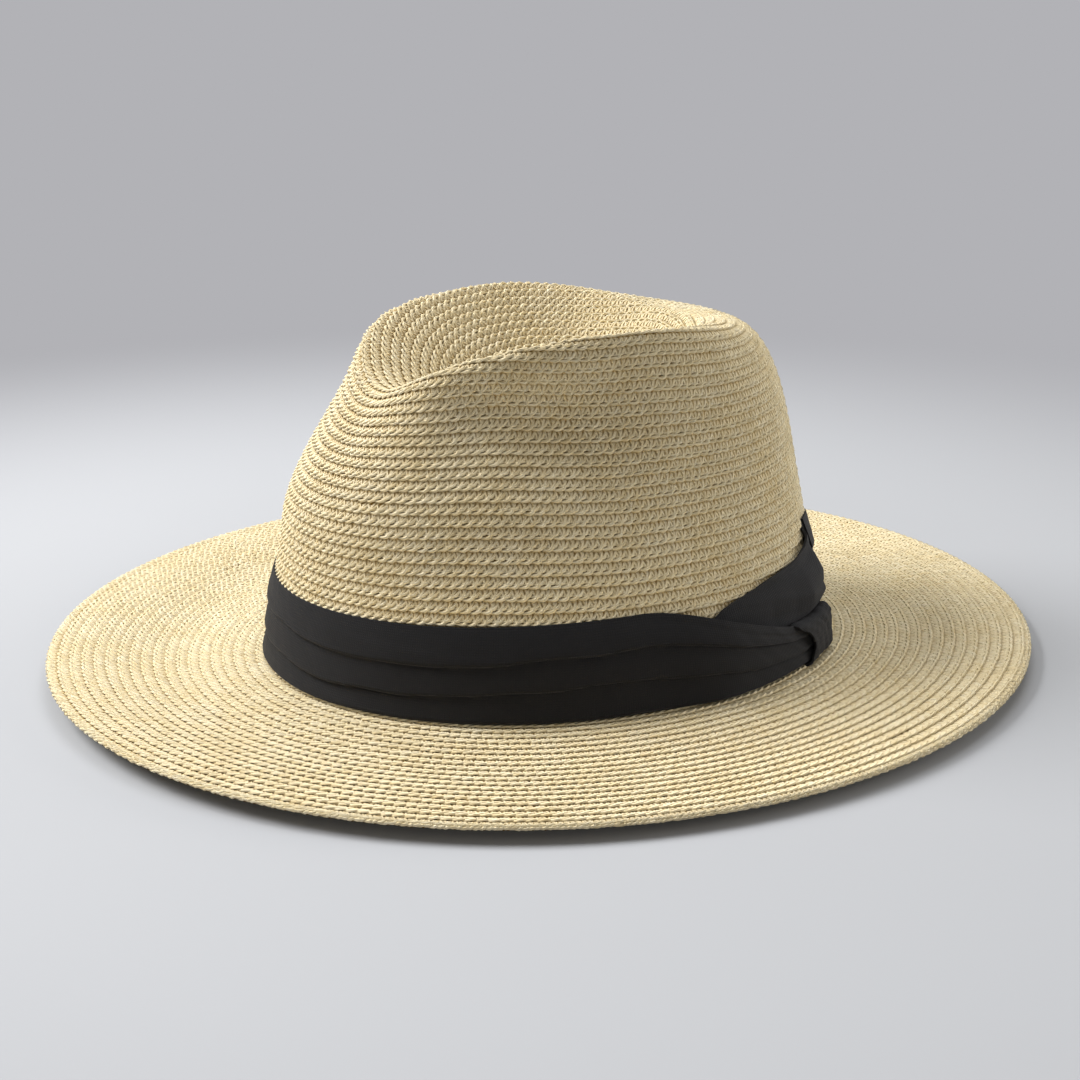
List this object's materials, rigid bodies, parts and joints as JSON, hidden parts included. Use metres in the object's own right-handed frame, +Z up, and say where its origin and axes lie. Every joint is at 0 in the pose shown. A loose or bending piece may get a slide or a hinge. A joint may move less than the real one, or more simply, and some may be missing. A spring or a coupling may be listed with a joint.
{
  "type": "straw sun hat",
  "caption": "Wide-brimmed straw sun hat with a creased teardrop crown, a gathered dark cloth band and a size strap inside, worn to shade the head and face.",
  "frame": {"origin": "middle of the hat's bounding box on the surface that it stands on, brim down", "axes": "+Z up through the crown, -Y to the front of the hat, +X to the wearer's left"},
  "size_m": [0.3122, 0.3438, 0.1164],
  "materials": {
    "straw": "plaited paper straw, natural",
    "straw_thread": "sewing thread, straw coloured",
    "wire": "drawn spring wire",
    "sleeve": "crimped tube",
    "band_cloth": "black cotton blend, faint sheen",
    "black_thread": "sewing thread, black",
    "sweat_ribbon": "ribbed polyester ribbon, beige",
    "loop_tape": "looped pile tape, beige",
    "hook_tape": "hook tape, beige",
    "label_cloth": "woven label, white and blank"
  },
  "bodies": {
    "hat": {"crown_side_braid": "straw", "crown_tip_braid": "straw", "brim_braid": "straw", "brim_edge_braid": "straw", "brim_edge_stitches": "straw_thread", "brim_wire": "wire", "wire_sleeve": "sleeve", "hat_band": "band_cloth", "hat_band_underlap": "band_cloth", "hat_band_loop": "band_cloth", "hat_band_tacks": "black_thread", "sweatband": "sweat_ribbon", "sweatband_stitches": "straw_thread", "size_strap_pad": "loop_tape", "care_label": "label_cloth"},
    "strap": {"size_strap": "hook_tape"}
  },
  "joints": [
    {"name": "size_strap_travel", "type": "hinge", "parent": "hat", "child": "strap", "pos_m": [0, 0.0289, 0.0143], "axis": [0, 0, 1], "range_deg": [0, 16]}
  ]
}
